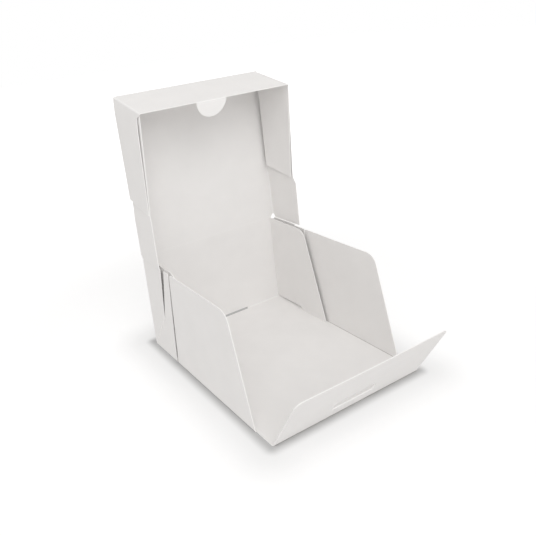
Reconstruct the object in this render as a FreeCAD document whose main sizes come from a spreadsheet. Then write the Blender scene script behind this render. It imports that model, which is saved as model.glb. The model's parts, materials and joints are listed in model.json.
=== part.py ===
import FreeCAD, Part
import math
import os
import Sketcher

# Pastry box: one folded sheet of white board. The tray stands open, its lid cap leans
# back a little, and the front and side flaps turn on creases along the floor's edges.
# Frame: +Z up, -Y front, origin at the middle of the floor's underside. Millimetres, degrees.

SIZES = (
    ("board", 0.6),               # thickness of the sheet
    ("floor_width", 140),         # side crease to side crease
    ("floor_length", 165),        # front crease to back crease
    ("crease_gap", 0.65),         # from a crease's axis to the edge of each panel beside it
    ("layer_gap", 0.25),          # between layers that slide past each other
    ("wall_height", 83.5),        # floor to lid crease, along the back wall
    ("wall_lean", 3),             # back wall, backward from upright
    ("top_gap", 1),               # side edges below the lid crease
    ("slit_depth", 39.6),         # slit between side flap and rear corner, from the back crease
    ("slit_width", 1),
    ("slit_slant", 2.5),          # the slit's top end, forward of its foot
    ("flap_foot_front", 18.5),    # side flap's front edge at its foot
    ("flap_top_front", 43),       # and at its top
    ("corner_radius", 10),        # round upper front corners of side flaps and inner panels
    ("inner_inset", 2.2),         # from rear corner to inner panel
    ("inner_foot_depth", 69.5),   # inner panel's foot, from the back crease
    ("inner_top_depth", 37),      # and its top
    ("relief_length", 35.5),      # inner panel's raised bottom edge, from the back crease
    ("relief_height", 2.5),
    ("strip_width", 32),          # rear strip at the lid crease
    ("strip_foot_width", 24),     # and at the top of its cut-off foot
    ("strip_foot_height", 36),
    ("fold_slot_width", 60),      # cut through the back crease of the floor
    ("fold_slot_height", 1.2),
    ("relief_diameter", 5),       # round reliefs at both ends of the lid crease
    ("lid_length", 137),
    ("lid_lean", 5),              # lid, backward from upright
    ("cap_depth", 41),            # lid's side walls at the top
    ("cap_step", 1.5),            # short step forward of their edge below the corner tabs
    ("rim_depth", 48),            # lid's front rim
    ("rim_overfold", 17),         # rim, folded past square
    ("tab_length", 86),           # corner tabs, from the rim down the side walls
    ("tab_back_gap", 2),          # corner tabs' inner edge, off the lid panel
    ("tab_slant", 4),             # how far their ends are out of square
    ("tongue_width", 27.5),
    ("tongue_depth", 12.6),
    ("tongue_offset", -8.5),      # tongue's middle, from the middle of the rim
    ("front_height", 54.5),
    ("front_lean", 28.5),         # front flap, outward from upright
    ("front_inset", 1.5),         # its ends, in from the floor's corners
    ("front_corner_radius", 5.5),
    ("slot_left", -22.5),
    ("slot_right", 15.5),
    ("slot_from_crease", 12),
    ("slot_height", 8.5),
)

X_AXIS = FreeCAD.Vector(1, 0, 0)


def make_sheet(doc):
    """Put the driving dimensions into a spreadsheet, one alias for each."""
    sheet = doc.addObject("Spreadsheet::Sheet", "Sizes")
    for row, (name, value) in enumerate(SIZES, start=1):
        sheet.set(f"A{row}", name)
        sheet.set(f"B{row}", str(value))
        sheet.setAlias(f"B{row}", name)
    doc.recompute()
    return sheet


def bound(text):
    """Write sheet names into an expression: words that are aliases get the sheet's prefix."""
    names = sorted((name for name, _ in SIZES), key=len, reverse=True)
    words = text.replace("(", "( ").replace(")", " )").split()
    return " ".join("Sizes." + word if word in names else word for word in words)


def read(doc, text):
    """Evaluate an expression of the sheet's names as a plain number."""
    return float(doc.Sizes.evalExpression(bound(text)))


def plane_of(body, role):
    """The body's own origin plane with this role."""
    return next(item for item in body.Origin.OriginFeatures if item.Role == role)


def draw_loop(doc, sketch, corners):
    """Draw a closed loop of straight lines whose corners are bound to expressions."""
    points = [FreeCAD.Vector(read(doc, across), read(doc, up), 0) for across, up in corners]
    first = sketch.GeometryCount
    count = len(points)
    for index in range(count):
        sketch.addGeometry(Part.LineSegment(points[index], points[(index + 1) % count]))
    for index in range(count):
        after = first + (index + 1) % count
        sketch.addConstraint(Sketcher.Constraint("Coincident", first + index, 2, after, 1))
    for index, (across, up) in enumerate(corners):
        for kind, text, value in (
            ("DistanceX", across, points[index].x),
            ("DistanceY", up, points[index].y),
        ):
            number = sketch.addConstraint(Sketcher.Constraint(kind, -1, 1, first + index, 1, value))
            sketch.setExpression(f"Constraints[{number}]", bound(text))


def make_sketch(body, role):
    """A sketch on one of the body's own origin planes."""
    sketch = body.newObject("Sketcher::SketchObject", body.Name + "_outline")
    sketch.AttachmentSupport = [(plane_of(body, role), "")]
    sketch.MapMode = "FlatFace"
    return sketch


def pad_board(doc, body, sketch, midplane):
    """Give the outline the thickness of the board."""
    pad = body.newObject("PartDesign::Pad", body.Name + "_board")
    pad.Profile = sketch
    pad.Midplane = midplane
    pad.setExpression("Length", "Sizes.board")
    doc.recompute()
    return pad


def panel(doc, name, role, loops, midplane=False):
    """A flat panel of board: its outline, and any opening as a second loop."""
    body = doc.addObject("PartDesign::Body", name)
    sketch = make_sketch(body, role)
    for corners in loops:
        draw_loop(doc, sketch, corners)
    pad_board(doc, body, sketch, midplane)
    return body


def place(body, angle="0", base=("0", "0", "0")):
    """Turn a panel about X, and put its origin at a bound position."""
    body.Placement = FreeCAD.Placement(FreeCAD.Vector(), FreeCAD.Rotation(X_AXIS, 1))
    body.setExpression("Placement.Rotation.Angle", bound(angle))
    for axis, text in zip("xyz", base):
        body.setExpression("Placement.Base." + axis, bound(text))


def round_corners(doc, body, axes, corners, radius):
    """Round these corners of a panel's outline, which lies along the two named axes."""
    spots = [(read(doc, across), read(doc, up)) for across, up in corners]
    base = body.Tip
    edges = []
    for index, edge in enumerate(base.Shape.Edges, start=1):
        ends = [[getattr(end, axis) for axis in axes] for end in edge.Vertexes]
        if any(all(math.dist(end, spot) < 0.01 for end in ends) for spot in spots):
            edges.append(f"Edge{index}")
    fillet = body.newObject("PartDesign::Fillet", body.Name + "_corner")
    fillet.Base = (base, edges)
    fillet.setExpression("Radius", "Sizes." + radius)
    doc.recompute()


def side_pair(doc, name, corners, outer_face, rounded=None):
    """The same side panel on both sides. outer_face is its distance from the middle."""
    pair = []
    for side, base in (("left", f"0 - ({outer_face})"), ("right", f"{outer_face} - board")):
        body = panel(doc, f"{side}_{name}", "YZ_Plane", [corners])
        if rounded:
            round_corners(doc, body, "YZ", [rounded], "corner_radius")
        place(body, base=(base, "0 - floor_length / 2", "0"))
        pair.append(body)
    return pair


def fuse(doc, name, parts):
    """Join panels of the same sheet into one piece."""
    joined = doc.addObject("Part::MultiFuse", name)
    joined.Shapes = parts
    joined.Refine = True
    doc.recompute()
    return joined


def cut(doc, name, base, tool):
    """Cut a tool out of a piece."""
    result = doc.addObject("Part::Cut", name)
    result.Base = base
    result.Tool = tool
    doc.recompute()
    return result


# Places that several pieces share. Y is measured from the front crease.
SIDE_TOP = "wall_height - top_gap"
BACK_FOOT = "floor_length - board / 2"
BACK_TOP = f"{BACK_FOOT} + ({SIDE_TOP}) * tan( wall_lean * 1deg )"
HINGE_Y = f"{BACK_FOOT} + wall_height * sin( wall_lean * 1deg )"
HINGE_Z = "board / 2 + wall_height * cos( wall_lean * 1deg )"
STRIP_TOP = f"{HINGE_Z} - crease_gap"
STRIP_FACE = "floor_width / 2 + board"
TAB_FACE = "floor_width / 2 - board - layer_gap"
CAP_FACE = "floor_width / 2 + 2 * board + layer_gap"
SLIT_FRONT = "floor_length - slit_depth"
SLIT_BACK = f"{SLIT_FRONT} + slit_width"
INNER_TOP = "floor_length - inner_top_depth"
RELIEF_END = "floor_length - relief_length"


def make_floor(doc):
    """Floor: full width at the rear corners, drawn in from the creases of the flaps."""
    half = "floor_width / 2"
    crease = f"{half} - board / 2 - crease_gap"
    front = "board / 2 + crease_gap"
    corners = (
        (f"0 - ({crease})", front),
        (crease, front),
        (crease, SLIT_BACK),
        (half, SLIT_BACK),
        (half, "floor_length"),
        (f"0 - {half}", "floor_length"),
        (f"0 - {half}", SLIT_BACK),
        (f"0 - ({crease})", SLIT_BACK),
    )
    floor = panel(doc, "floor", "XY_Plane", [corners])
    place(floor, base=("0", "0 - floor_length / 2", "0"))
    return floor


def make_back_wall(doc):
    """Back wall, up to the lid crease."""
    half = "floor_width / 2"
    top = "wall_height - crease_gap"
    corners = ((f"0 - {half}", "0"), (half, "0"), (half, top), (f"0 - {half}", top))
    wall = panel(doc, "back_wall", "XZ_Plane", [corners], midplane=True)
    place(wall, "0 - wall_lean", ("0", "floor_length / 2 - board / 2", "board / 2"))
    return wall


def make_rear_corners(doc):
    """Rear corners: outer corner panel, strip with its cut-off foot, and inner panel."""
    outer = side_pair(
        doc,
        "rear_corner",
        (
            (SLIT_BACK, "0"),
            (BACK_FOOT, "0"),
            (BACK_TOP, SIDE_TOP),
            (f"{SLIT_BACK} - slit_slant", SIDE_TOP),
        ),
        "floor_width / 2",
    )
    strips = side_pair(
        doc,
        "strip",
        (
            ("floor_length", "0"),
            (f"{HINGE_Y} + board / 2", STRIP_TOP),
            (f"{HINGE_Y} - strip_width", STRIP_TOP),
            (f"{BACK_FOOT} - strip_foot_width", "strip_foot_height"),
        ),
        STRIP_FACE,
    )
    inner = side_pair(
        doc,
        "inner_panel",
        (
            ("floor_length - inner_foot_depth", "board / 2"),
            (RELIEF_END, "board / 2"),
            (RELIEF_END, "board + relief_height"),
            (BACK_FOOT, "board + relief_height"),
            (BACK_TOP, SIDE_TOP),
            (INNER_TOP, SIDE_TOP),
        ),
        "floor_width / 2 - board - inner_inset",
        (INNER_TOP, SIDE_TOP),
    )
    return outer + strips + inner


def relief_pins(doc):
    """Round cutters at both ends of the lid crease."""
    pins = []
    for side, sign in (("left", "0 -"), ("right", "0 +")):
        pin = doc.addObject("Part::Cylinder", side + "_relief")
        pin.setExpression("Radius", "Sizes.relief_diameter / 2")
        pin.setExpression("Height", "Sizes.relief_diameter * 4")
        pin.Placement = FreeCAD.Placement(FreeCAD.Vector(), FreeCAD.Rotation(X_AXIS, 90))
        pin.setExpression("Placement.Base.x", bound(f"{sign} floor_width / 2"))
        pin.setExpression(
            "Placement.Base.y", bound(f"{HINGE_Y} - floor_length / 2 + relief_diameter * 2")
        )
        pin.setExpression("Placement.Base.z", bound(HINGE_Z))
        pins.append(pin)
    return fuse(doc, "relief_pins", pins)


def make_tray(doc, pins):
    """Tray: floor, back wall and both rear corners, with the slot in the back crease."""
    sheet = fuse(doc, "tray_sheet", [make_floor(doc), make_back_wall(doc)] + make_rear_corners(doc))
    slot = doc.addObject("Part::Box", "fold_slot")
    slot.setExpression("Length", "Sizes.fold_slot_width")
    slot.setExpression("Width", "Sizes.board * 4")
    slot.setExpression("Height", "Sizes.fold_slot_height")
    slot.setExpression("Placement.Base.x", "-Sizes.fold_slot_width / 2")
    slot.setExpression("Placement.Base.y", "Sizes.floor_length / 2 - Sizes.board * 2")
    slot.setExpression("Placement.Base.z", "Sizes.board")
    opened = cut(doc, "tray_opened", sheet, slot)
    return cut(doc, "tray", opened, pins)


def make_cap(doc):
    """Lid in its own frame: the crease is the origin, and the panel stands up from it."""
    lid_top = "lid_length - board"
    rim_tip_y = "rim_depth * cos( rim_overfold * 1deg )"
    rim_tip_z = f"{lid_top} - rim_depth * sin( rim_overfold * 1deg )"
    tab_end = "lid_length - tab_length"
    panel_corners = (
        (f"0 - ({CAP_FACE})", "crease_gap"),
        (CAP_FACE, "crease_gap"),
        (CAP_FACE, "lid_length"),
        (f"0 - ({CAP_FACE})", "lid_length"),
    )
    parts = [panel(doc, "lid_panel", "XZ_Plane", [panel_corners], midplane=True)]
    rim_corners = (
        (f"0 - ({TAB_FACE})", f"0 - rim_depth + crease_gap"),
        (TAB_FACE, f"0 - rim_depth + crease_gap"),
        (TAB_FACE, "0"),
        (f"0 - ({TAB_FACE})", "0"),
    )
    rim = panel(doc, "lid_rim", "XY_Plane", [rim_corners])
    place(rim, "rim_overfold", ("0", "0", lid_top))
    parts.append(rim)
    wall_corners = (
        ("board / 2", "crease_gap"),
        ("board / 2", "lid_length"),
        (f"0 - cap_depth * cos( rim_overfold * 1deg )",
         f"lid_length - cap_depth * sin( rim_overfold * 1deg )"),
        (f"0 - strip_width + cap_step", tab_end),
        (f"0 - strip_width - cap_step", f"{tab_end} - 2 * cap_step"),
        ("0 - strip_width", "crease_gap"),
    )
    tab_corners = (
        ("0 - tab_back_gap", f"{lid_top} - tab_back_gap"),
        (f"0 - {rim_tip_y} + crease_gap", f"{rim_tip_z} + board / 2"),
        (f"0 - strip_width + cap_step", tab_end),
        ("0 - tab_back_gap", f"{tab_end} + tab_slant"),
    )
    for name, corners, face in (
        ("lid_side", wall_corners, CAP_FACE),
        ("corner_tab", tab_corners, TAB_FACE),
    ):
        for side, base in (("left", f"0 - ({face})"), ("right", f"{face} - board")):
            part = panel(doc, f"{side}_{name}", "YZ_Plane", [corners])
            place(part, base=(base, "0", "0"))
            parts.append(part)
    return fuse(doc, "lid_sheet", parts)


def make_lid(doc, pins):
    """Lid: the cap turned back to its lean on the lid crease, with the reliefs cut out."""
    cap = make_cap(doc)
    place(cap, "0 - lid_lean", ("0", f"{HINGE_Y} - floor_length / 2", HINGE_Z))
    return cut(doc, "lid", cap, pins)


def make_tongue(doc):
    """Half-moon tongue, folded square to the rim at its free edge."""
    tongue = doc.addObject("PartDesign::Body", "lid_tongue")
    sketch = make_sketch(tongue, "XZ_Plane")
    half = read(doc, "tongue_width / 2")
    top = read(doc, "0 - crease_gap")
    radius_text = "tongue_width ^ 2 / ( 8 * tongue_depth ) + tongue_depth / 2"
    low = FreeCAD.Vector(0, top - read(doc, "tongue_depth"), 0)
    left = FreeCAD.Vector(-half, top, 0)
    right = FreeCAD.Vector(half, top, 0)
    sketch.addGeometry(Part.LineSegment(left, right))
    sketch.addGeometry(Part.Arc(left, low, right))
    arc_starts_left = sketch.getPoint(1, 1).x < 0
    sketch.addConstraint(Sketcher.Constraint("Coincident", 1, 1 if arc_starts_left else 2, 0, 1))
    sketch.addConstraint(Sketcher.Constraint("Coincident", 1, 2 if arc_starts_left else 1, 0, 2))
    for kind, point, text, value in (
        ("DistanceX", 1, "0 - tongue_width / 2", -half),
        ("DistanceX", 2, "tongue_width / 2", half),
        ("DistanceY", 1, "0 - crease_gap", top),
        ("DistanceY", 2, "0 - crease_gap", top),
    ):
        number = sketch.addConstraint(Sketcher.Constraint(kind, -1, 1, 0, point, value))
        sketch.setExpression(f"Constraints[{number}]", bound(text))
    number = sketch.addConstraint(Sketcher.Constraint("Radius", 1, read(doc, radius_text)))
    sketch.setExpression(f"Constraints[{number}]", bound(radius_text))
    pad_board(doc, tongue, sketch, True)
    turn = "( rim_overfold - lid_lean ) * 1deg"
    lid_top = "( lid_length - board )"
    crease_y = (
        f"{HINGE_Y} - floor_length / 2 + {lid_top} * sin( lid_lean * 1deg )"
        f" - rim_depth * cos( {turn} ) - board / 2 * sin( {turn} )"
    )
    crease_z = (
        f"{HINGE_Z} + {lid_top} * cos( lid_lean * 1deg )"
        f" - rim_depth * sin( {turn} ) + board / 2 * cos( {turn} )"
    )
    place(tongue, "rim_overfold - lid_lean", ("tongue_offset", crease_y, crease_z))
    return tongue


def make_front_flap(doc):
    """Front flap with the slot that takes the tongue, leaning out from the front crease."""
    half = "floor_width / 2 - front_inset"
    edges = (
        (f"0 - ({half})", "crease_gap"),
        (half, "crease_gap"),
        (half, "front_height"),
        (f"0 - ({half})", "front_height"),
    )
    slot_top = "slot_from_crease + slot_height"
    slot = (
        ("slot_left", "slot_from_crease"),
        ("slot_right", "slot_from_crease"),
        ("slot_right", slot_top),
        ("slot_left", slot_top),
    )
    flap = panel(doc, "front_flap", "XZ_Plane", [edges, slot], midplane=True)
    round_corners(doc, flap, "XZ", (edges[2], edges[3]), "front_corner_radius")
    place(flap, "front_lean", ("0", "board / 2 - floor_length / 2", "board / 2"))
    return flap


def make_side_flaps(doc):
    """Side flaps: slanted front edge, round upper corner, rear edge along the slit."""
    foot = "board / 2 + crease_gap"
    corners = (
        ("flap_foot_front", foot),
        (SLIT_FRONT, foot),
        (f"{SLIT_FRONT} - slit_slant", SIDE_TOP),
        ("flap_top_front", SIDE_TOP),
    )
    return side_pair(doc, "side_flap", corners, "floor_width / 2", ("flap_top_front", SIDE_TOP))


def check_and_export(doc, pieces):
    """Stop on any failed object or wrong solid, then write one STEP file for each piece."""
    for item in doc.Objects:
        if "Invalid" in item.State or "Error" in item.State:
            raise RuntimeError(f"{item.Label}: {item.State}")
    os.makedirs("parts", exist_ok=True)
    for piece in pieces:
        piece.Label = piece.Name
        shape = piece.Shape
        if shape.isNull() or not shape.isValid() or len(shape.Solids) != 1:
            raise RuntimeError(f"{piece.Label}: {len(shape.Solids)} solids")
        shape.exportStep(f"parts/{piece.Label}.step")
        print(piece.Label, round(shape.Volume, 1), shape.BoundBox)


def main():
    """Build the document and write its pieces."""
    doc = FreeCAD.newDocument("pastry_box")
    make_sheet(doc)
    pins = relief_pins(doc)
    pieces = [make_tray(doc, pins), make_lid(doc, pins), make_tongue(doc), make_front_flap(doc)]
    pieces += make_side_flaps(doc)
    doc.recompute()
    check_and_export(doc, pieces)
    for name, text in (("hinge y", f"{HINGE_Y} - floor_length / 2"), ("hinge z", HINGE_Z)):
        print(name, round(read(doc, text), 4))
    print("tongue crease", doc.lid_tongue.Placement.Base)


main()
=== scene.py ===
"""Looks of an open pastry box that is folded from one sheet of white board.

Each panel is a closed sheet: a middle surface worked out with numpy as a grid of
points, given its thickness along its normals. Sizes are millimetres in the row
frame (+Z up, -Y front, origin under the middle of the floor) and become metres
where a mesh is made.
"""

import json
import logging
import math
from dataclasses import dataclass
from enum import Enum, IntFlag
from typing import Any, Sequence

import bpy
import numpy as np
from mathutils import Matrix, Vector


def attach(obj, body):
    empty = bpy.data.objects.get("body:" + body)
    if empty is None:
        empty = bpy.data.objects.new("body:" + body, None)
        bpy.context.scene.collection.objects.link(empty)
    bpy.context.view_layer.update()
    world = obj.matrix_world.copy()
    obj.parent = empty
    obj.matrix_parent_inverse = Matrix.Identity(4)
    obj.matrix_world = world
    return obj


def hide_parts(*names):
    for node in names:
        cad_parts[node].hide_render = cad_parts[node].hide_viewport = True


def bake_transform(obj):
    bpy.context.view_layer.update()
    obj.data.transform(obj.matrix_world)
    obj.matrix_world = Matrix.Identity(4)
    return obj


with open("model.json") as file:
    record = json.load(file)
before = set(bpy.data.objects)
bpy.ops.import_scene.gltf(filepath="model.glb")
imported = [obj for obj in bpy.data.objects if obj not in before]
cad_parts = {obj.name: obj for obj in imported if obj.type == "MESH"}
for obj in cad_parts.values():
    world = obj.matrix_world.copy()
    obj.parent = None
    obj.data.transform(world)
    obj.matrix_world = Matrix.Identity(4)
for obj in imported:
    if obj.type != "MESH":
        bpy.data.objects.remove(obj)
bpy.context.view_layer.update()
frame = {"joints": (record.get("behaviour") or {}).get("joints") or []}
LOG = logging.getLogger("pastry_box")

Array = np.ndarray
Pair = tuple[float, float]
Triple = tuple[float, float, float]
Inputs = dict[str, Any] | Sequence[Any]
Outputs = bpy.types.bpy_prop_collection

MM = 0.001
BOARD = 0.6            # thickness of the sheet
FLOOR_LEVEL = BOARD / 2
FOLD_RADIUS = 0.9      # middle of the sheet, round a pressed fold
FOLD_POINTS = 7        # columns round such a fold
CREASE_GAP = 0.65      # from a crease's axis to the panel beside it
RELIEF_RADIUS = 2.5    # round openings at both ends of the lid's crease
STEP = 4.0             # usual spacing of a panel's grid
CREASE_ROW = 0.9       # width of a panel's first row, beside its fold
FINE_RUN = 7.0         # beside the lid's crease, where rows lie closer together
BORDER = 0.55          # pale band along a cut edge: a painted highlight where the edge catches the light
FOLD_TURN = (0.09, 0.39)   # turn of the normals past a point, flat and folded, radians
FOLD_HIGHLIGHT = 0.45       # paleness of a pressed fold, a painted highlight, where a cut edge has one
FREE_RISE = 0.62       # share of half a sine wave that a free panel's bow rises through


class Side(Enum):
    """The two sides of the box."""

    LEFT = -1
    RIGHT = 1

    @property
    def index(self) -> int:
        """Place of this side in a (left, right) pair."""
        return (self.value + 1) // 2

    @property
    def word(self) -> str:
        """The side's name as pieces and bodies use it."""
        return self.name.lower()


class Seam(IntFlag):
    """Outer lines of a grid where the sheet carries on in another piece."""

    NONE = 0
    FIRST_ROW = 1
    LAST_ROW = 2
    FIRST_COLUMN = 4
    LAST_COLUMN = 8
    ROWS = 3
    COLUMNS = 12
    EVERY = 15


def joint_axis(name: str) -> Array:
    """The point on a joint's axis, in millimetres."""
    joint = next(item for item in frame["joints"] if item["name"] == name)
    return np.array(joint["pos_m"], float) / MM


HINGE = joint_axis("lid_crease")
TONGUE_AXIS = joint_axis("tongue_crease")
FRONT_AXIS = joint_axis("front_crease")
SIDE_AXIS = joint_axis("right_crease")


# ---- surfaces


def ramp(values: Array, low: float, high: float) -> Array:
    """Nought below low, one above high, and a straight line between them."""
    return np.clip((values - low) / (high - low), 0.0, 1.0)


def smoothstep(values: Array, low: float, high: float) -> Array:
    """Nought below low, one above high, and a smooth cubic between them."""
    share = ramp(values, low, high)
    return share * share * (3.0 - 2.0 * share)


def joined(*runs: Sequence[float]) -> Array:
    """Several rising or falling runs of values as one, without repeats."""
    values = np.concatenate([np.asarray(run, float) for run in runs])
    return values[np.append(True, np.abs(np.diff(values)) > 1e-6)]


def spaced(*marks: float, step: float = STEP) -> Array:
    """Values from mark to mark, evenly spaced between two of them and at most step apart."""
    runs = []
    for start, end in zip(marks, marks[1:]):
        runs.append(np.linspace(start, end, max(2, math.ceil(abs(end - start) / step) + 1)))
    return joined(*runs)


def middles(*lines: Array) -> list[Array]:
    """The values halfway between the neighbours in each line of values."""
    return [(line[:-1] + line[1:]) / 2 for line in lines]


def between(ends: Sequence[float], share: Array) -> Array:
    """The value that lies that share of the way from the first end to the second."""
    return ends[0] + share * (ends[1] - ends[0])


def both(values: Array) -> Array:
    """The same values for the left and the right side, (rows, 2)."""
    return np.stack([values, values], axis=-1)


def surface(x: Array, y: Array, z: Array) -> Array:
    """A grid of points from its three coordinates, each spread over rows and columns."""
    return np.stack(np.broadcast_arrays(x, y, z), axis=-1).astype(float)


def arc(radius: float, angle: float, points: int = FOLD_POINTS) -> tuple[Array, Array]:
    """A round fold from a level start: how far along each point is, and how far up."""
    turn = np.linspace(0.0, angle, points)
    return radius * np.sin(turn), radius * (1.0 - np.cos(turn))


def unit(vectors: Array) -> Array:
    """Vectors scaled to length one."""
    return vectors / np.maximum(np.linalg.norm(vectors, axis=-1, keepdims=True), 1e-12)


def tangents(points: Array, axis: int) -> Array:
    """Unit tangents along one parameter: the sum of the unit steps before and after a point."""
    steps = unit(np.diff(points, axis=axis))
    pad = [(0, 0)] * points.ndim
    pad[axis] = (0, 1)
    after = np.pad(steps, pad)
    pad[axis] = (1, 0)
    return unit(after + np.pad(steps, pad))


def normals(points: Array) -> Array:
    """Unit normals of a grid: the cross product of its two tangents."""
    return unit(np.cross(tangents(points, 0), tangents(points, 1)))


def fold_nearness(points: Array) -> Array:
    """Nought on a flat panel to one on a fold: a ramp of the turn of the normals."""
    facing = normals(points)
    bend = np.zeros(points.shape[:2])
    for one, two, pad in (
        (facing[:-2], facing[2:], ((1, 1), (0, 0))),
        (facing[:, :-2], facing[:, 2:], ((0, 0), (1, 1))),
    ):
        turn = np.arccos(np.clip(np.sum(one * two, axis=2), -1.0, 1.0))
        bend = np.maximum(bend, np.pad(turn, pad))
    return ramp(bend, *FOLD_TURN)


def profile_sheet(x: Array, y: Array, z: Array) -> Array:
    """A profile of (Y, Z) points carried along X: point (i, j) is (x j, y i, z i)."""
    return surface(x, y[:, None], z[:, None])


def leaning(degrees: float, up: float = 1.0) -> Triple:
    """Unit vector in the side view: up or down, leaning to the back by the angle."""
    angle = math.radians(degrees)
    return (0.0, up * math.sin(angle), up * math.cos(angle))


def slanted_edge(height: Array, places: Pair, rise: Pair, radius: float, inward: int) -> Array:
    """Place of a straight edge whose upper corner is rounded.

    Up to the tangent point it is the line from foot to top. Above it, it is the circle
    that touches that line and the level line through top.

    Args:
        height: heights to place the edge at.
        places: place of the line's lower and upper end.
        rise: height of its lower and upper end.
        radius: radius of the rounded corner.
        inward: 1 if the panel lies towards higher places, else -1.

    Returns:
        The place at each height.
    """
    slope = (places[1] - places[0]) / (rise[1] - rise[0])
    cosine = 1.0 / math.hypot(1.0, slope)
    centre_height = rise[1] - radius
    line = places[0] + slope * (height - rise[0])
    centre = places[0] + slope * (centre_height - rise[0]) + inward * radius / cosine
    tangent = centre_height + inward * radius * slope * cosine
    above = np.clip(height - centre_height, -radius, radius)
    circle = centre - inward * np.sqrt(np.maximum(radius**2 - above**2, 0.0))
    return np.where(height > tangent, circle, line)


def rising_rows(low: float, high: float, radius: float) -> Array:
    """Heights from low to high, closer together where a corner of that radius is round."""
    turn = np.sin(np.linspace(0.0, math.pi / 2, 9))
    return joined(spaced(low, high - radius), high - radius + radius * turn)


def bowed(grid: Array, height: float) -> Array:
    """A panel fixed at its first row and bowed along its normals.

    The bow is half a sine wave across, with a slight ripple, times a part of half a sine
    wave that rises from the fixed row to the free one.

    Args:
        grid: the flat panel.
        height: greatest height of the bow, negative to bow the other way.

    Returns:
        The bowed panel.
    """
    up = np.sin(np.linspace(0.0, FREE_RISE * math.pi, grid.shape[0]))
    across = np.linspace(0.0, 1.0, grid.shape[1])
    wave = np.sin(math.pi * across) * (1.0 + 0.25 * np.sin(5.0 * across))
    return grid + normals(grid) * (height * up[:, None] * wave)[..., None]


def relief(distance: Array) -> Array:
    """How far an edge draws back for the round opening, at that distance from its centre."""
    half_height = np.sqrt(np.maximum(RELIEF_RADIUS**2 - distance**2, 0.0))
    return np.maximum(half_height - CREASE_GAP, 0.0)


def with_border(grid: Array, keep: Array | None) -> tuple[Array, Array]:
    """Add a grid line close inside each of the four outer lines, for the pale border of painted
    highlight.

    A new point lies on the step from its outer line to the next one, at the border's width
    from the outer line. Steps that are already short keep their lines as they are.

    Args:
        grid: grid of points, (rows, columns, 3).
        keep: which cells there are, or None for all.

    Returns:
        The grid with its new lines, and which of its cells there are.
    """
    if keep is None:
        keep = np.ones((grid.shape[0] - 1, grid.shape[1] - 1), bool)
    for _ in range(4):
        step = grid[1] - grid[0]
        length = np.linalg.norm(step, axis=-1, keepdims=True)
        if float(np.median(length)) > 2 * BORDER:
            line = grid[0] + step * np.minimum(BORDER / np.maximum(length, 1e-9), 0.5)
            grid = np.concatenate([grid[:1], line[None], grid[1:]])
            keep = np.concatenate([keep[:1], keep])
        grid, keep = np.rot90(grid), np.rot90(keep)
    return grid, keep


def thicken(middle: Array, keep: Array, seams: Seam) -> tuple[Array, Array, Array, Array]:
    """Give a middle surface its thickness and close it.

    A face point is the middle point plus or minus half the thickness along the normal.
    Cells that aren't kept are left open, and every open side of a kept cell gets a wall,
    so the sheet is closed round its outline and round its openings.

    Args:
        middle: grid of points, (rows, columns, 3).
        keep: which cells there are, (rows - 1, columns - 1).
        seams: outer lines that are no cut edges.

    Returns:
        Points, four-sided faces, which faces are cut edges, and how pale each point is with the
        painted highlight along folds and cut edges.
    """
    rows, columns = middle.shape[:2]
    half = normals(middle) * BOARD / 2
    points = np.concatenate([(middle + half).reshape(-1, 3), (middle - half).reshape(-1, 3)])
    rim = np.zeros((rows, columns))
    for seam, line in (
        (Seam.FIRST_ROW, np.s_[0, :]),
        (Seam.LAST_ROW, np.s_[-1, :]),
        (Seam.FIRST_COLUMN, np.s_[:, 0]),
        (Seam.LAST_COLUMN, np.s_[:, -1]),
    ):
        if seam not in seams:
            rim[line] = 1.0
    # painted highlight: pale along pressed folds, by the turn of the normals, and along cut edges
    nearness = np.tile(np.maximum(fold_nearness(middle) * FOLD_HIGHLIGHT, rim).ravel(), 2)
    top = np.arange(rows * columns).reshape(rows, columns)
    a, b, c, d = top[:-1, :-1], top[1:, :-1], top[1:, 1:], top[:-1, 1:]
    e, f, g, h = (corner + top.size for corner in (a, b, c, d))
    faces = [np.stack([a, b, c, d], -1)[keep], np.stack([h, g, f, e], -1)[keep]]
    framed = np.pad(keep, 1)
    sides = (
        (framed[:-2, 1:-1], (a, d, h, e)),
        (framed[2:, 1:-1], (c, b, f, g)),
        (framed[1:-1, :-2], (b, a, e, f)),
        (framed[1:-1, 2:], (d, c, g, h)),
    )
    walls = [np.stack(corners, -1)[keep & ~beyond] for beyond, corners in sides]
    flat = sum(len(face) for face in faces)
    every = np.concatenate(faces + walls)
    used, renumbered = np.unique(every, return_inverse=True)
    cut = np.arange(len(every)) >= flat
    return points[used], renumbered.reshape(-1, 4), cut, nearness[used]


# ---- finishes


def plug(made: bpy.types.Node, inputs: Inputs) -> None:
    """Fill a node's inputs.

    Args:
        made: the node.
        inputs: by name or in order. A socket is linked, anything else is a value.
    """
    for name, value in inputs.items() if isinstance(inputs, dict) else enumerate(inputs):
        if isinstance(value, bpy.types.NodeSocket):
            made.id_data.links.new(value, made.inputs[name])
        else:
            made.inputs[name].default_value = value


def node(tree: bpy.types.NodeTree, kind: str, inputs: Inputs = (), **settings: Any) -> Outputs:
    """Add a node.

    Args:
        tree: where it goes.
        kind: its type.
        inputs: as for plug.
        **settings: its other properties, by name.

    Returns:
        Its outputs.
    """
    made = tree.nodes.new(kind)
    for name, value in settings.items():
        setattr(made, name, value)
    plug(made, inputs)
    return made.outputs


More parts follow.
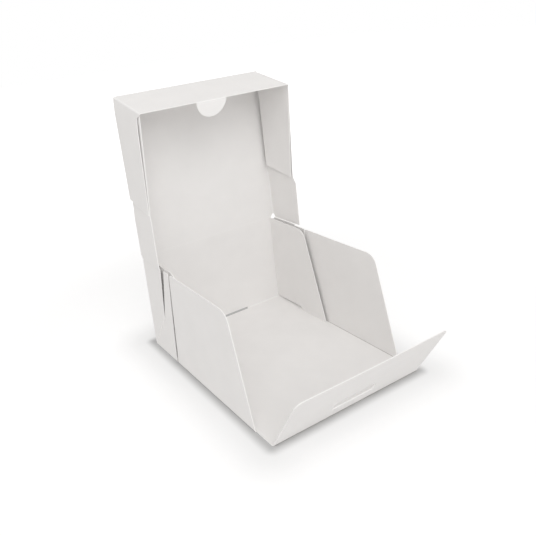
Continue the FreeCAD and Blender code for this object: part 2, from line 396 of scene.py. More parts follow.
def fibre_group() -> bpy.types.NodeTree:
    """Node group for pressed pulp: short fibres lying two ways, and a slow cloudy mottle.

    Returns:
        The group. Its outputs are Fibres (a height) and Cloud (a mask), both near a half.
    """
    tree = bpy.data.node_groups.new("pulp_fibres", "ShaderNodeTree")
    for name, scale in (("Fibre Scale", 1400.0), ("Cloud Scale", 45.0)):
        socket = tree.interface.new_socket(name=name, in_out="INPUT", socket_type="NodeSocketFloat")
        socket.default_value = scale
    for name in ("Fibres", "Cloud"):
        tree.interface.new_socket(name=name, in_out="OUTPUT", socket_type="NodeSocketFloat")
    enter = node(tree, "NodeGroupInput")
    place = node(tree, "ShaderNodeTexCoord")["Object"]
    lays = []
    for turn, stretch in ((0.5, (0.18, 1.0, 1.0)), (2.1, (1.0, 0.2, 0.8))):
        turned = (turn, turn * 0.6, turn * 1.3)
        lay = node(
            tree, "ShaderNodeMapping", {"Vector": place, "Rotation": turned, "Scale": stretch}
        )
        lays.append(node(tree, "ShaderNodeTexNoise", {
            "Vector": lay["Vector"], "Scale": enter["Fibre Scale"],
            "Detail": 3.0, "Roughness": 0.6,
        })["Fac"])
    crossed = node(tree, "ShaderNodeMath", lays, operation="MAXIMUM")
    cloud = node(tree, "ShaderNodeTexNoise", {
        "Vector": place, "Scale": enter["Cloud Scale"], "Detail": 4.0, "Roughness": 0.55,
    })
    node(tree, "NodeGroupOutput", {"Fibres": crossed[0], "Cloud": cloud["Fac"]})
    return tree


@dataclass(frozen=True)
class BoardFinish:
    """A matte surface of the board."""

    name: str
    colour: Triple  # its plain colour, linear
    highlight_colour: Triple  # colour of the painted highlight along cut edges and, in part, along pressed folds, linear
    cloud: float = 0.02  # how far the mottle darkens the colour
    roughness: float = 0.62  # of the surface
    relief: float = 0.00002  # height of the fibres, in metres
    fibre_scale: float = 1400.0  # fineness of the fibres

    def shade(self, change: float) -> tuple[float, ...]:
        """The plain colour made lighter by that share of itself, with its alpha."""
        return (*[min(1.0, part * (1.0 + change)) for part in self.colour], 1.0)

    def material(self, group: bpy.types.NodeTree) -> bpy.types.Material:
        """Build the material around the fibre group.

        Args:
            group: the node group that fibre_group makes.

        Returns:
            The material.
        """
        made = bpy.data.materials.new(self.name)
        made.use_nodes = True
        tree = made.node_tree
        pulp = node(tree, "ShaderNodeGroup", {"Fibre Scale": self.fibre_scale}, node_tree=group)
        mottle = tree.nodes.new("ShaderNodeValToRGB")
        plug(mottle, {"Fac": pulp["Cloud"]})
        low, high = mottle.color_ramp.elements
        low.position, high.position = 0.3, 0.7
        low.color, high.color = self.shade(-self.cloud), self.shade(self.cloud * 0.4)
        # the attribute mixes in the painted highlight along cut edges and pressed folds
        fold = node(tree, "ShaderNodeAttribute", attribute_name="highlight_paleness")
        painted_highlight = node(tree, "ShaderNodeMix", {
            "Factor": fold["Fac"], "A": mottle.outputs["Color"], "B": (*self.highlight_colour, 1.0),
        }, data_type="RGBA")
        gloss = node(tree, "ShaderNodeMapRange", {
            "Value": pulp["Fibres"], "From Min": 0.3, "From Max": 0.75,
            "To Min": self.roughness - 0.05, "To Max": self.roughness + 0.12,
        })
        bump = node(tree, "ShaderNodeBump", {
            "Height": pulp["Fibres"], "Strength": 0.5, "Distance": self.relief,
        })
        plug(tree.nodes["Principled BSDF"], {
            "Base Color": painted_highlight["Result"], "Roughness": gloss["Result"],
            "Normal": bump["Normal"], "Specular IOR Level": 0.28,
        })
        return made


# the second colour is the painted highlight along cut edges and pressed folds
FACE_FINISH = BoardFinish("white_board", (0.885, 0.873, 0.862), (0.975, 0.970, 0.962))
# darker board for the tray's creases: painted shade, a dark line where the folds meet the floor and
# the table
CREASE_SHADE_FINISH = BoardFinish("crease_painted_shade", (0.60, 0.585, 0.57), (0.60, 0.585, 0.57))
# paler than the face board: painted light on the tongue, which catches more light
TONGUE_LIT_FINISH = BoardFinish("tongue_board", (0.960, 0.950, 0.940), (0.98, 0.975, 0.97))
# cut edges are paler than the faces: the board's white core, brightened further as a painted
# highlight
EDGE_CORE_AND_HIGHLIGHT = BoardFinish(
    "cut_edge", (0.97, 0.962, 0.95), (0.97, 0.962, 0.95), 0.05, 0.85, 0.00005, 2600.0
)


def placed(name: str, data: bpy.types.ID) -> bpy.types.Object:
    """A new object of that data, put in the scene."""
    made = bpy.data.objects.new(name, data)
    bpy.context.scene.collection.objects.link(made)
    return made


@dataclass
class Paper:
    """The finishes every panel wears: its two faces, and its cut edges."""

    face: bpy.types.Material  # material of the faces
    edge: bpy.types.Material  # material of the cut edges, with a painted highlight

    def sheet(
        self, name: str, middle: Array, body: str | None, keep: Array | None = None,
        replaces: Sequence[str] = (), seams: Seam = Seam.NONE,
    ) -> bpy.types.Object:
        """Make one panel from its middle surface, dress it and let it ride.

        Args:
            name: name of the piece.
            middle: grid of points in millimetres.
            body: body it rides on, or None to leave it unattached.
            keep: which cells of the grid there are.
            replaces: the nodes it stands for.
            seams: outer lines of the grid that are no cut edges.

        Returns:
            The finished piece.
        """
        points, faces, cut, nearness = thicken(*with_border(middle, keep), seams)
        mesh = bpy.data.meshes.new(name)
        mesh.from_pydata((points * MM).tolist(), [], faces.tolist())
        mesh.materials.append(self.face)
        mesh.materials.append(self.edge)
        mesh.polygons.foreach_set("material_index", cut.astype(np.int32))
        mesh.polygons.foreach_set("use_smooth", np.ones(len(faces), bool))
        painted_highlight = mesh.attributes.new("highlight_paleness", "FLOAT", "POINT")
        painted_highlight.data.foreach_set("value", nearness.astype(np.float32))
        mesh.set_sharp_from_angle(angle=math.radians(35))
        mesh.update()
        piece = placed(name, mesh)
        if body:
            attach(piece, body)
        if replaces:
            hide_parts(*replaces)
        LOG.info("%s: %d faces", name, len(faces))
        return piece


# ---- folded forms


@dataclass
class Wrap:
    """A panel with a side wall folded forward at each end, in its own flat frame.

    Points are (X, depth, height): depth is measured forward from the panel. The panel's
    rows are level lines at fold_height. A wall's row is the straight line from the fold
    to its free edge, so each wall is a ruled surface.
    """

    fold_height: Array  # height of each row on the panel
    half: Array  # distance of each wall from the middle, (rows, 2) for left and right
    edge_depth: Array  # depth of each row's free edge, (rows, 2)
    edge_height: Array  # height of each row's free edge, (rows, 2)

    CLOSE = (0.0, 0.4, 0.8, 1.2, 1.6, 2.0, 2.4, 2.6)   # columns beside a fold, from its end
    BENT = FOLD_RADIUS * math.pi / 4                   # from a fold's middle to its end

    def corner(self, side: Side) -> tuple[Array, Array]:
        """One fold and its wall, from the panel outwards.

        A fold point is a quarter circle of the fold's radius. A wall point is the fold's end
        plus a share of the way to the free edge.

        Args:
            side: which one.

        Returns:
            The points, and each column's distance from the middle of the fold.
        """
        half, depth, height = (
            array[:, side.index, None] for array in (self.half, self.edge_depth, self.edge_height)
        )
        foot = self.fold_height[:, None]
        along, up = arc(FOLD_RADIUS, math.pi / 2)
        fold = surface(half - FOLD_RADIUS + along, up, foot)
        reach = float(depth.max()) - FOLD_RADIUS
        close = np.array([value for value in self.CLOSE if value < reach * 0.4])
        share = joined(close / reach, np.linspace(close[-1] / reach, 1.0, 10)[1:])[1:]
        wall = surface(half, between((FOLD_RADIUS, depth), share), between((foot, height), share))
        points = np.hstack([fold, wall])
        points[..., 0] *= side.value
        on_fold = np.abs(np.linspace(-self.BENT, self.BENT, FOLD_POINTS))
        return points, np.append(on_fold, self.BENT + share * reach)

    def grid(self) -> tuple[Array, Array, Array]:
        """The whole wrap, from the left wall's free edge to the right wall's.

        Returns:
            The grid of (X, depth, height), each column's distance from its fold's middle, and
            each column's part: -1 on the left wall, 0 on the panel and folds, 1 on the right.
        """
        (left, left_away), (right, right_away) = (self.corner(side) for side in Side)
        start, end = left[:, :1, 0], right[:, :1, 0]
        span = float(np.min(end - start))
        close = np.array(self.CLOSE[1:])
        level = spaced(self.CLOSE[-1], span - self.CLOSE[-1])
        share = joined(close / span, level / span, 1.0 - close[::-1] / span)
        panel = surface(between((start, end), share), 0.0, self.fold_height[:, None])
        grid = np.hstack([left[:, ::-1], panel, right])
        inside = self.BENT + np.minimum(share, 1.0 - share) * span
        away = np.concatenate([left_away[::-1], inside, right_away])
        on_wall = grid[0, :, 1] > FOLD_RADIUS + 1e-6
        return grid, away, np.sign(grid[0, :, 0]) * on_wall


# ---- flaps


@dataclass
class SideFlap:
    """A side flap: slanted front edge, round upper corner, rear edge along the slit."""

    paper: Paper
    side: Side
    front: Pair = (-64.0, -39.5)  # Y of the front edge, at its foot and top
    rear: Pair = (42.9, 40.4)  # Y of the rear edge, at its foot and top
    top: float = 82.5  # height of the flap
    radius: float = 10.0  # of the upper front corner
    small_radius: float = 2.0  # of the upper rear corner
    bow: float = 0.25  # how far it bows inward

    def build(self) -> None:
        """A point is a share of the way from the front edge's place to the rear edge's."""
        foot_z = SIDE_AXIS[2] + CREASE_GAP
        rows = joined([foot_z, foot_z + CREASE_ROW], rising_rows(foot_z + 3.0, self.top, self.radius))
        height, rise = rows[:, None], (foot_z, self.top)
        front = slanted_edge(height, self.front, rise, self.radius, 1)
        rear = slanted_edge(height, self.rear, rise, self.small_radius, -1)
        y = between((front, rear), np.linspace(0.0, 1.0, 28))
        grid = surface(self.side.value * SIDE_AXIS[0], y, height)
        grid = bowed(grid, self.side.value * self.bow)
        name, body = f"{self.side.word}_side_flap", f"{self.side.word}_flap"
        self.paper.sheet(f"{name}_board", grid, body, None, [name], Seam.FIRST_ROW)


@dataclass
class FrontFlap:
    """The front flap with its slot and round upper corners, leaning outward."""

    paper: Paper
    half: float = 68.5  # half its width
    height: float = 54.5  # along the flap, from the crease
    lean: float = 28.5  # outward from upright, degrees
    radius: float = 5.5  # of its upper corners
    # left, right, lower and upper edge of the slot
    slot: tuple[float, float, float, float] = (-22.5, 15.5, 12.0, 20.5)
    bow: float = 0.3  # how far it bows inward

    def build(self) -> None:
        """A row lies at its height along the lean, and its ends follow the rounded corners."""
        left, right, low, high = self.slot
        rows = joined(
            [CREASE_GAP, CREASE_GAP + CREASE_ROW],
            spaced(CREASE_GAP + 3.0, low, high),
            rising_rows(high, self.height, self.radius),
        )
        across = spaced(-self.half, left, right, self.half)
        above = np.clip(rows - (self.height - self.radius), 0.0, self.radius)
        ends = self.half - self.radius + np.sqrt(self.radius**2 - above**2)
        _, y, z = FRONT_AXIS[:, None] + np.outer(leaning(-self.lean), rows)
        grid = profile_sheet(across * (ends / self.half)[:, None], y, z)
        up, over = middles(rows[:, None], across)
        keep = ~((up > low) & (up < high) & (over > left) & (over < right))
        seams = Seam.FIRST_ROW | Seam.FIRST_COLUMN
        grid = bowed(grid, -self.bow)
        self.paper.sheet("front_flap_board", grid, "front_flap", keep, ["front_flap"], seams)


# ---- tray


@dataclass
class Tray:
    """Floor, back wall with its strips, rear corners and inner panels."""

    paper: Paper
    front: float = -81.55  # Y of the floor's front edge
    back: float = 82.2  # Y of the back wall's middle at its foot
    floor_half: float = 69.05  # half the floor's width between the side creases
    lean: float = 3.0  # back wall, backward from upright, degrees
    wall_foot: float = 3.0  # height at which the back wall's own sheet starts
    wall_bow: float = 0.35  # how far the back wall bows backward in its middle
    bow_width: float = 90.0  # across, the bow is the cosine of X over this
    slot_half: float = 30.0  # half the width of the slot in the back fold
    slot_top: float = 1.8  # height of its upper edge
    strip_x: float = 70.3  # distance of the strips from the middle
    strip_top: float = 32.0  # their depth at the lid's crease
    strip_lift: float = 0.1  # how far they rise above the back wall's upper edge
    strip_foot: Pair = (24.0, 36.0)  # depth and height of the corner above the cut-off foot
    corner_x: float = 69.7  # distance of the rear corners from the middle
    corner_lean: float = 0.2  # how far their upper front corner leans in
    slit_gap: Pair = (2.6, 0.3)  # width of the slit behind each side flap
    wedge: Pair = (5.0, 0.6)  # width at the top of each open wedge between strip and rear corner
    inner_x: float = 66.9  # distance of the inner panels from the middle
    inner_lean: float = 0.7  # how far their upper front corner leans in
    inner_press: float = 1.5  # how far their lower rear corner is pressed out
    inner_front: Pair = (13.0, 39.0)  # Y of their front edge, at its foot and top
    inner_radius: float = 10.0  # their rounded corner
    raised_from: float = 47.0  # Y from which their bottom edge is raised
    raised_by: Pair = (0.9, 3.0)  # height of the raised edge, at the back wall and at its front end

    def wall_y(self, height: Array) -> Array:
        """Y of the back wall's middle at a height: its foot plus the height times tan(lean)."""
        return self.back + (height - FLOOR_LEVEL) * math.tan(math.radians(self.lean))

    def strip_y(self, height: Array) -> Array:
        """Y of a strip's free edge: up the cut-off foot, then up to the lid's crease."""
        foot_y, foot_z = self.back - self.strip_foot[0], self.strip_foot[1]
        places = [self.back + BOARD / 2, foot_y, HINGE[1] - self.strip_top]
        return np.interp(height, [0.0, foot_z, HINGE[2]], places)

    def floor(self) -> None:
        """Floor with the fold up to the back wall, and the slot cut through that fold.

        The profile is a straight run, an arc of the fold's radius and a short leaning run.
        """
        full = math.pi / 2 - math.radians(self.lean)
        start = self.back - FOLD_RADIUS * math.tan(full / 2)
        run = joined(spaced(self.front, start - 1.2), [start - 0.6, start])
        along, up = arc(FOLD_RADIUS, full, 9)
        rise = np.array([self.slot_top, 2.3, self.wall_foot])
        y = np.concatenate([run, start + along[1:], self.wall_y(rise)])
        z = np.concatenate([np.full_like(run, FLOOR_LEVEL), FLOOR_LEVEL + up[1:], rise])
        half = self.floor_half
        across = joined(
            [-half, -half + 0.8],
            spaced(-half + 3.0, -self.slot_half, self.slot_half, half - 3.0),
            [half - 0.8, half],
        )
        middle_x, middle_y, middle_z = middles(across, y, z)
        in_fold = (middle_y > start - 0.6) & (middle_z < self.slot_top)
        keep = ~(in_fold[:, None] & (np.abs(middle_x) < self.slot_half))
        grid = profile_sheet(across, y, z)
        self.paper.sheet("tray_floor", grid, "tray", keep, ["tray"], Seam.EVERY)

    def back_wall(self) -> None:
        """Back wall and both strips as one wrap, leaning back, with the round reliefs.

        The top row falls by the relief where a column is inside its circle.
        """
        last = HINGE[2] - CREASE_GAP * math.cos(math.radians(self.lean))
        rows = joined(
            spaced(self.wall_foot, self.strip_foot[1], last - FINE_RUN),
            spaced(last - FINE_RUN, last, step=1.0),
        )
        depth = self.wall_y(rows) - self.strip_y(rows)
        half = np.full_like(rows, self.strip_x)
        grid, away, part = Wrap(rows, both(half), both(depth), both(rows)).grid()
        outside = (part != 0) & (away > RELIEF_RADIUS)
        lift = np.where(outside, self.strip_lift, -relief(away))
        height = grid[..., 2] + lift * smoothstep(grid[..., 2], last - FINE_RUN, last)
        up = ramp(height, self.wall_foot, last)
        bow = self.wall_bow * np.sin(math.pi * up) * np.cos(grid[..., 0] / self.bow_width)
        bow *= part == 0
        grid = surface(grid[..., 0], self.wall_y(height) - grid[..., 1] + bow, height)
        self.paper.sheet("tray_back_wall", grid, "tray", seams=Seam.ROWS)

    def rear_corner(self, side: Side) -> None:
        """Outer panel of a rear corner, folded up from the floor.

        Its profile across is a quarter circle and a straight rise. Its rear edge follows the
        strip's free edge, and above the strip's foot it draws away to leave an open wedge.

        Args:
            side: which one.
        """
        radius = self.corner_x - self.floor_half
        out, up = arc(radius, math.pi / 2)
        foot_z, top = self.strip_foot[1], SideFlap.top
        rise = joined(
            spaced(1.8, foot_z, step=3.0), [foot_z + 0.4], spaced(foot_z + 3.0, top, step=3.0)
        )
        height = np.append(FLOOR_LEVEL + up, rise)[:, None]
        out = np.append(out, np.full_like(rise, radius))[:, None]
        share = height / top
        front = self.slit_gap[side.index] + between(SideFlap.rear, share)
        behind = np.minimum(self.wall_y(height), self.strip_y(height) + 4.0)
        gap = self.wedge[side.index] * ramp(height, foot_z, top)
        rear = np.where(height > foot_z + 0.2, self.strip_y(height) - gap, behind)
        across = np.linspace(0.0, 1.0, 12)
        x = self.floor_half + out - self.corner_lean * share * (1.0 - across) ** 2
        grid = surface(side.value * x, between((front, rear), across), height)
        self.paper.sheet(f"rear_corner_{side.word}", grid, "tray", seams=Seam.FIRST_ROW)

    def inner_panel(self, side: Side) -> None:
        """Inner panel of a rear corner: round upper front corner and raised bottom edge.

        A point is its bottom edge plus a share of the rise, between the front edge's place
        and the back wall's at that height.

        Args:
            side: which one.
        """
        top = SideFlap.top
        rows = rising_rows(BOARD + 0.05, top, self.inner_radius)
        share = ((rows - rows[0]) / (rows[-1] - rows[0]))[:, None]
        edge = (self.inner_front, (FLOOR_LEVEL, top), self.inner_radius, 1)
        low = np.array([1.5])
        low_front, low_back = float(slanted_edge(low, *edge)[0]), float(self.wall_y(low)[0])
        step = (self.raised_from - low_front) / (low_back - low_front)
        behind = np.linspace(step + 0.05, 1.0, 9)
        across = joined(np.linspace(0.0, step, 10), [step + 0.008], behind)
        raised = np.interp(across, [step, 1.0], self.raised_by[::-1])
        bottom = np.where(across > step + 1e-6, raised, rows[0])
        height = between((bottom, top), share)
        front = slanted_edge(height, *edge)
        up = height / top
        press = self.inner_press * (1.0 - up) ** 2 * smoothstep(across, 0.25, 0.7)
        x = self.inner_x - self.inner_lean * up * (1.0 - across) ** 2 + press
        grid = surface(side.value * x, between((front, self.wall_y(height)), across), height)
        seams = Seam.FIRST_ROW | Seam.LAST_COLUMN
        self.paper.sheet(f"inner_panel_{side.word}", grid, "tray", seams=seams)

    def build(self) -> None:
        """Build every part of the tray."""
        self.floor()
        self.back_wall()
        for side in Side:
            self.rear_corner(side)
            self.inner_panel(side)


# ---- lid


@dataclass
class Lid:
    """Lid panel with its side walls, rim with its corner tabs, and half-moon tongue.

    The left tab is glued outside its wall and the right one inside.
    """

    paper: Paper
    painted_light_tongue_paper: Paper  # the finishes of the tongue, paler than the face: painted light
    lean: float = 5.0  # lid, backward from upright, degrees
    overfold: float = 17.0  # rim, folded past square, degrees
    rim_height: float = 136.71  # height at which panel and rim would meet
    rim_depth: float = 48.0  # the rim, along itself
    fold_radius: float = 0.8  # of the fold between panel and rim
    crease_half: float = 67.6  # half the length of the lid's crease, between the reliefs
    panel_bow: float = 0.5  # how far the panel bows backward in its middle
    bow_width: float = 48.0  # across, the bow is the cosine of X over this
    bow_ease: Pair = (2.0, 20.0)  # distances from the folds between which it sets in
    # side walls' distance from the middle, near the crease and near the rim
    wall_x: Pair = (71.15, 70.45)
    wall_ease: Pair = (33.0, 47.0)  # heights between which they change from one to the other
    step_z: float = 42.0  # height where their edge steps, and where the corner tabs end in front
    step_rise: float = 6.0  # height of that step
    # depth of the left and right wall's edge: at the crease, below the step and above it
    step_depth: tuple[tuple[float, ...], ...] = ((32.0, 32.8, 31.2), (37.5, 38.5, 36.0))
    wall_top: Pair = (43.0, 122.9)  # depth and height of their upper free corners
    # how far the side walls reach below the crease, at the back and in front
    skirt: Pair = (0.6, 3.1)
    # distance of the left tab, outside its wall, and the right one, inside
    tab_x: Pair = (71.2, 68.7)
    tab_length: float = 80.0  # about how long they are, to space their columns
    tab_rise: float = 10.0  # how much higher they end at the back
    tab_back: float = 0.3  # depth of their lower rear corners
    tab_front: Pair = (30.6, 35.5)  # depth of their lower front corners
    left_bulge: float = 0.9  # how far the left tab stands off its wall
    left_hollow: float = 5.0  # how far the left tab's front edge draws back
    right_lean: float = 1.6  # how far the right tab leans in at the back
    tab_cut: float = 4.0  # width that the right tab is cut back there, beside the wall
    tongue_half: float = 13.75  # half the tongue's width
    tongue_depth: float = 12.6  # its depth

    def place(self, grid: Array) -> Array:
        """From the lid's own (X, depth, height) to the row frame: turned back by the lean."""
        _, sine, cosine = leaning(self.lean)
        x, depth, height = np.moveaxis(grid, -1, 0)
        y = HINGE[1] - depth * cosine + height * sine
        return surface(x, y, HINGE[2] + depth * sine + height * cosine)

    @property
    def fold_run(self) -> float:
        """From the corner where panel and rim would meet to where their fold starts."""
        return self.fold_radius * math.tan(math.radians(90 + self.overfold) / 2)

    def shell(self) -> None:
        """Lid panel and side walls as one wrap, with the round reliefs at the crease.

        The walls stand a little closer together near the rim, where the tabs are. The
        lowest row rises by the relief inside its circle, and on the walls outside it
        reaches down below the crease.
        """
        top = self.rim_height - self.fold_run
        step, fine = self.step_z, CREASE_GAP + FINE_RUN
        low = step - self.step_rise
        rows = joined(
            spaced(CREASE_GAP, fine, step=1.0), spaced(fine, low),
            spaced(low, step, step=2.0), spaced(step, top),
        )
        places = [CREASE_GAP, low, step, top]
        depth = np.stack(
            [np.interp(rows, places, [*side, self.wall_top[0]]) for side in self.step_depth], -1
        )
        leaned = between((step, self.wall_top[1]), ramp(rows, step, top))
        height = np.where(rows <= step, rows, leaned)
        half = between(self.wall_x, smoothstep(rows, *self.wall_ease))
        grid, away, part = Wrap(rows, both(half), depth, both(height)).grid()
        outside = (part != 0) & (away > RELIEF_RADIUS)
        skirt = np.interp(grid[..., 1], [FOLD_RADIUS, self.step_depth[0][0]], self.skirt)
        shift = np.where(outside, -skirt - CREASE_GAP, relief(away))
        grid[..., 2] += shift * (1.0 - smoothstep(grid[..., 2], CREASE_GAP, fine))
        up = ramp(grid[..., 2], 0.0, top)
        bow = self.panel_bow * np.sin(math.pi * up) * np.cos(grid[..., 0] / self.bow_width)
        grid[..., 1] -= bow * (part == 0) * smoothstep(away, *self.bow_ease)
        self.paper.sheet("lid_shell", self.place(grid), "lid", None, ["lid"], Seam.ROWS)

    def top_fold(self) -> None:
        """The fold between lid panel and rim: an arc of the fold's radius carried along X."""
        along, depth = arc(self.fold_radius, math.radians(90 + self.overfold), 11)
        height = self.rim_height - self.fold_run + along
        across = spaced(-self.wall_x[1] - 0.2, self.wall_x[1] + 0.1, step=6.0)
        grid = self.place(profile_sheet(across, depth, height))
        self.paper.sheet("lid_top_fold", grid, "lid", seams=Seam.ROWS)

    def rim(self) -> None:
        """Rim and both corner tabs as one wrap that hangs over the lid's top.

        A rim row is a level line at its distance along the rim. A tab's row is the straight
        line from the rim's end to the tab's lower edge. The left tab bulges a little
        outward, less towards its glued lower front corner, and the right one leans in.
        """
        _, sine, cosine = leaning(self.overfold)
        first, last = self.fold_run, self.rim_depth - CREASE_GAP
        along = joined([first, first + CREASE_ROW, first + 2.2], spaced(first + 4.4, last))
        share = ((along - first) / (last - first))[:, None]
        half, reach = both(np.ones_like(along)) * self.tab_x, self.tab_length
        flat, _, part = Wrap(along, half, np.full_like(half, reach), both(along)).grid()
        fold = np.minimum(flat[..., 1], FOLD_RADIUS)
        down = np.maximum(flat[..., 1] - FOLD_RADIUS, 0.0) / (reach - FOLD_RADIUS)
        is_left = part == Side.LEFT.value
        start_y = along[:, None] * cosine - fold * sine
        start_z = self.rim_height - along[:, None] * sine - fold * cosine
        low_y = between((self.tab_back, np.where(is_left, *self.tab_front)), share)
        low_z = self.step_z + self.tab_rise * (1.0 - share)
        bulge = self.left_bulge * (1.0 - share * down)
        off = np.where(is_left, bulge, self.right_lean * (1.0 - share) ** 2)
        hollow = self.left_hollow * is_left * share**3 * np.minimum(1.0, down / 0.03)
        grid = surface(
            flat[..., 0] - off * np.minimum(1.0, down / 0.1),
            between((start_y, low_y), down) - hollow * (1.0 - down),
            between((start_z, low_z), down),
        )
        is_right = part == Side.RIGHT.value
        behind_wall = (along[:-1] < first + self.tab_cut)[:, None] & (is_right[:-1] | is_right[1:])
        self.paper.sheet("lid_rim", self.place(grid), "lid", ~behind_wall, seams=Seam.FIRST_ROW)

    def tongue(self) -> None:
        """Half-moon tongue: a row's half-width is the circle's at that depth below the rim."""
        radius = self.tongue_half**2 / (2 * self.tongue_depth) + self.tongue_depth / 2
        above = radius - self.tongue_depth
        angle = np.linspace(math.asin(above / radius), math.radians(88.6), 14)
        down = radius * np.sin(angle) - above + CREASE_GAP
        lean = leaning(self.lean - self.overfold, -1.0)
        x, y, z = TONGUE_AXIS[:, None] + np.outer(lean, down)
        half = (radius * np.cos(angle))[:, None]
        grid = profile_sheet(x[:, None] + half * np.linspace(-1.0, 1.0, 13), y, z)
        seams = Seam.FIRST_ROW
        self.painted_light_tongue_paper.sheet("tongue_board", grid, "tongue", None, ["lid_tongue"], seams)

    def build(self) -> None:
        """Build every part of the lid."""
        self.shell()
        self.top_fold()
        self.rim()
        self.tongue()


# ---- creases


@dataclass
class Crease:
    """A pressed crease between two bodies.

    Its cross-section is a quadratic curve from one panel's edge to the other's with the
    axis as its control point, so it leaves each panel along that panel.
    """

    name: str
    bodies: tuple[str, str]
    axis: Array  # a point on the crease's axis
    along: Triple  # unit vector along the axis
    extent: Pair  # start and end along that vector, from the axis point
    towards: tuple[Triple, Triple]  # unit vectors from the axis to each panel's edge

    def build(self, paper: Paper) -> None:
        """Make the sheet, with its place baked into its points.

        Args:
            paper: the finishes.
        """
        share = np.linspace(0.0, 1.0, 9)[:, None]
        first, second = (np.array(vector) * CREASE_GAP for vector in self.towards)
        section = (1 - share) ** 2 * first + share**2 * second
        run = spaced(*self.extent, step=6.0)[:, None] * np.array(self.along)
        grid = self.axis + section[:, None, :] + run[None, :, :]
        piece = paper.sheet(self.name, grid, None, seams=Seam.COLUMNS)
        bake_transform(piece)


def creases(flap: FrontFlap, tray: Tray, lid: Lid) -> list[Crease]:
    """The five creases between the box's bodies.

    Args:
        flap: the front flap.
        tray: the tray.
        lid: the lid.

    Returns:
        The front flap's crease, the lid's, the tongue's and the side flaps'.
    """
    rim = lid.overfold - lid.lean
    made = [
        Crease("front_crease_board", ("tray", "front_flap"), FRONT_AXIS, (1, 0, 0),
               (-flap.half, flap.half), ((0, 1, 0), leaning(-flap.lean))),
        Crease("lid_crease_board", ("tray", "lid"), HINGE, (1, 0, 0),
               (-lid.crease_half, lid.crease_half), (leaning(tray.lean, -1.0), leaning(lid.lean))),
        Crease("tongue_crease_board", ("lid", "tongue"), TONGUE_AXIS, (1, 0, 0),
               (-lid.tongue_half, lid.tongue_half), (leaning(90.0 - rim), leaning(-rim, -1.0))),
    ]
    for side in Side:
        axis = SIDE_AXIS * np.array([side.value, 1, 1])
        reach = (SideFlap.front[0] - axis[1], SideFlap.rear[0] - axis[1])
        made.append(
            Crease(f"{side.word}_crease_board", ("tray", f"{side.word}_flap"), axis, (0, 1, 0),
                   reach, ((-side.value, 0, 0), (0, 0, 1)))
        )
    return made


# ---- stage


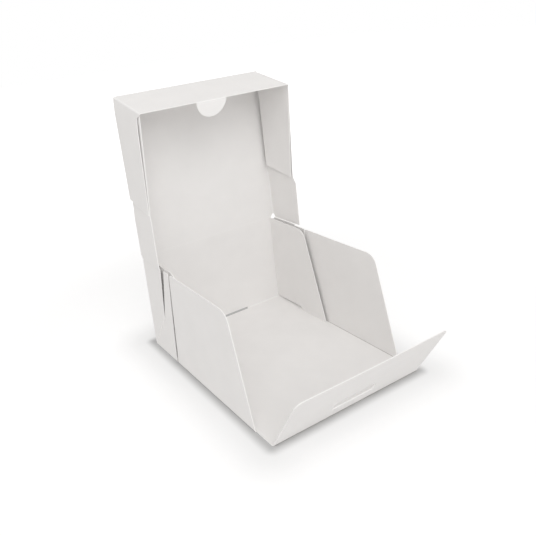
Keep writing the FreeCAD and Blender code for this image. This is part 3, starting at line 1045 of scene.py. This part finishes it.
@dataclass
class Studio:
    """White table and backdrop, soft light and the camera."""

    sky: float = 0.69  # strength of the soft light from all round
    sky_colour: Triple = (1.0, 0.986, 0.975)  # its colour, linear
    # each lamp's name, place in metres, the brightness it adds on a white surface that faces
    # it, and the length of its sides in metres
    lamps: tuple[tuple[str, Triple, float, float], ...] = (
        ("key_lamp", (-0.3, -1.12, 1.2), 0.27, 1.2), ("fill_lamp", (-0.9, -0.7, 1.5), 0.08, 1.0)
    )
    foot: Pair = (0.070, 0.085)  # half the width and length of the box's foot, in metres
    foot_y: float = 0.0025  # Y of its middle, in metres
    table_half: float = 3.0  # half the table's width, in metres
    table_z: float = -0.0001  # its height, a little under the box, in metres
    # grey of the table, as it lights the box and as the camera sees it
    table_tone: Pair = (0.9, 0.55)
    # brightness the camera sees besides the table's light; it is least at the box's foot, a painted
    # shadow round it. Each entry is the distances from the box's foot where it starts and is whole,
    # and its value
    table_lift: tuple[tuple[float, ...], ...] = (
        (0.0, 0.009, 0.36), (0.0, 0.045, 0.17), (0.12, 0.6, 0.45)
    )
    lens: float = 39.17  # focal length in millimetres, for a sensor 36 wide
    shift: Pair = (0.17446, -0.0927)  # of the view, as shares of its width
    spot: Triple = (-252.3, -340.5, 275.9)  # the camera's place, in millimetres
    yaw: float = 26.9282  # degrees from looking along +Y towards +X
    pitch: float = 19.1319  # degrees looking down
    roll: float = 6.9123  # degrees the view is turned

    def distance(self, tree: bpy.types.NodeTree) -> bpy.types.NodeSocket:
        """Distance of a point of the table from the box's foot: that of a rounded rectangle."""
        place = node(tree, "ShaderNodeTexCoord")["Object"]
        for operation, *vector in (
            ("SUBTRACT", (0.0, self.foot_y, 0.0)), ("ABSOLUTE",),
            ("SUBTRACT", (*self.foot, 0.0)), ("MAXIMUM",),
        ):
            step = node(tree, "ShaderNodeVectorMath", [place, *vector], operation=operation)
            place = step["Vector"]
        return node(tree, "ShaderNodeVectorMath", [place], operation="LENGTH")["Value"]

    def table(self) -> None:
        """A level table: one large square with a pale finish that keeps shadows; its brightness for
        the camera is least at the box's foot, a painted shadow round it.
        """
        mesh = bpy.data.meshes.new("table")
        half, z = self.table_half, self.table_z
        corners = [(-half, -half, z), (half, -half, z), (half, half, z), (-half, half, z)]
        mesh.from_pydata(corners, [], [(0, 1, 2, 3)])
        table = placed("table", mesh)
        made = bpy.data.materials.new("table_white")
        made.use_nodes = True
        tree = made.node_tree
        seen = node(tree, "ShaderNodeLightPath")["Is Camera Ray"]
        greys = {name: (grey, grey, grey, 1.0) for name, grey in zip("AB", self.table_tone)}
        tone = node(tree, "ShaderNodeMix", {"Factor": seen, **greys}, data_type="RGBA")
        away, total = self.distance(tree), 0.0
        # least near the foot: this paints a soft shadow round the box's foot
        for near, far, most in self.table_lift:
            lift = node(tree, "ShaderNodeMapRange", {
                "Value": away, "From Min": near, "From Max": far, "To Max": most,
            }, interpolation_type="SMOOTHSTEP")
            terms = [total, lift["Result"]]
            total = node(tree, "ShaderNodeMath", terms, operation="ADD")[0]
        glow = node(tree, "ShaderNodeMath", [seen, total], operation="MULTIPLY")
        plug(tree.nodes["Principled BSDF"], {
            "Base Color": tone["Result"], "Roughness": 0.9, "Specular IOR Level": 0.0,
            "Emission Color": (1.0, 1.0, 1.0, 1.0), "Emission Strength": glow[0],
        })
        mesh.materials.append(made)

    def world(self) -> None:
        """Soft light from all round, seen as plain white by the camera."""
        world = bpy.data.worlds.new("soft_room")
        bpy.context.scene.world = world
        world.use_nodes = True
        tree = world.node_tree
        tree.nodes.clear()
        path = node(tree, "ShaderNodeLightPath")
        seen = [path["Is Camera Ray"], path["Is Glossy Ray"]]
        either = node(tree, "ShaderNodeMath", seen, operation="MAXIMUM")
        light, white = (
            node(tree, "ShaderNodeBackground", {"Color": (*colour, 1.0), "Strength": strength})
            for colour, strength in ((self.sky_colour, self.sky), ((1.0, 1.0, 1.0), 1.0))
        )
        mix = node(tree, "ShaderNodeMixShader", [either[0], light[0], white[0]])
        node(tree, "ShaderNodeOutputWorld", {"Surface": mix[0]})

    def lamp(self, name: str, spot: Triple, value: float, size: float) -> None:
        """A square area lamp aimed at the box.

        Args:
            name: of the lamp.
            spot: its place, in metres.
            value: brightness it adds on a white surface that faces it.
            size: length of its sides, in metres.
        """
        data = bpy.data.lights.new(name, "AREA")
        data.size = size
        aim = Vector((0.0, 0.0, 0.08)) - Vector(spot)
        data.energy = value * math.pi**2 * aim.length_squared
        lamp = placed(name, data)
        lamp.location = spot
        lamp.rotation_euler = aim.to_track_quat("-Z", "Y").to_euler()

    def camera(self) -> None:
        """The camera: from looking straight down it is rolled, tipped up and turned."""
        turn = Matrix.Identity(3)
        for degrees, axis in ((-self.yaw, "Z"), (90.0 - self.pitch, "X"), (-self.roll, "Z")):
            turn = turn @ Matrix.Rotation(math.radians(degrees), 3, axis)
        data = bpy.data.cameras.new("camera")
        data.lens, data.sensor_width = self.lens, 36.0
        data.shift_x, data.shift_y = self.shift
        data.clip_start = 0.01
        camera = placed("camera", data)
        camera.matrix_world = Matrix.Translation(Vector(self.spot) * MM) @ turn.to_4x4()
        bpy.context.scene.camera = camera

    def build(self) -> None:
        """Set the stage and the view."""
        self.table()
        self.world()
        for lamp in self.lamps:
            self.lamp(*lamp)
        self.camera()
        bpy.context.scene.view_settings.view_transform = "Standard"


def main() -> None:
    """Build the box and its stage in order."""
    logging.basicConfig(level=logging.INFO, format="%(message)s")
    group = fibre_group()
    edge = EDGE_CORE_AND_HIGHLIGHT.material(group)
    paper = Paper(FACE_FINISH.material(group), edge)
    tray = Tray(paper)
    tray.build()
    for side in Side:
        SideFlap(paper, side).build()
    flap = FrontFlap(paper)
    flap.build()
    lid = Lid(paper, Paper(TONGUE_LIT_FINISH.material(group), edge))
    lid.build()
    # the tray's three creases wear the darker board: painted shade along them
    crease_shade_paper = Paper(CREASE_SHADE_FINISH.material(group), edge)
    for crease in creases(flap, tray, lid):
        crease.build(paper if "lid" in crease.bodies else crease_shade_paper)
    Studio().build()


if __name__ == "__main__":
    main()
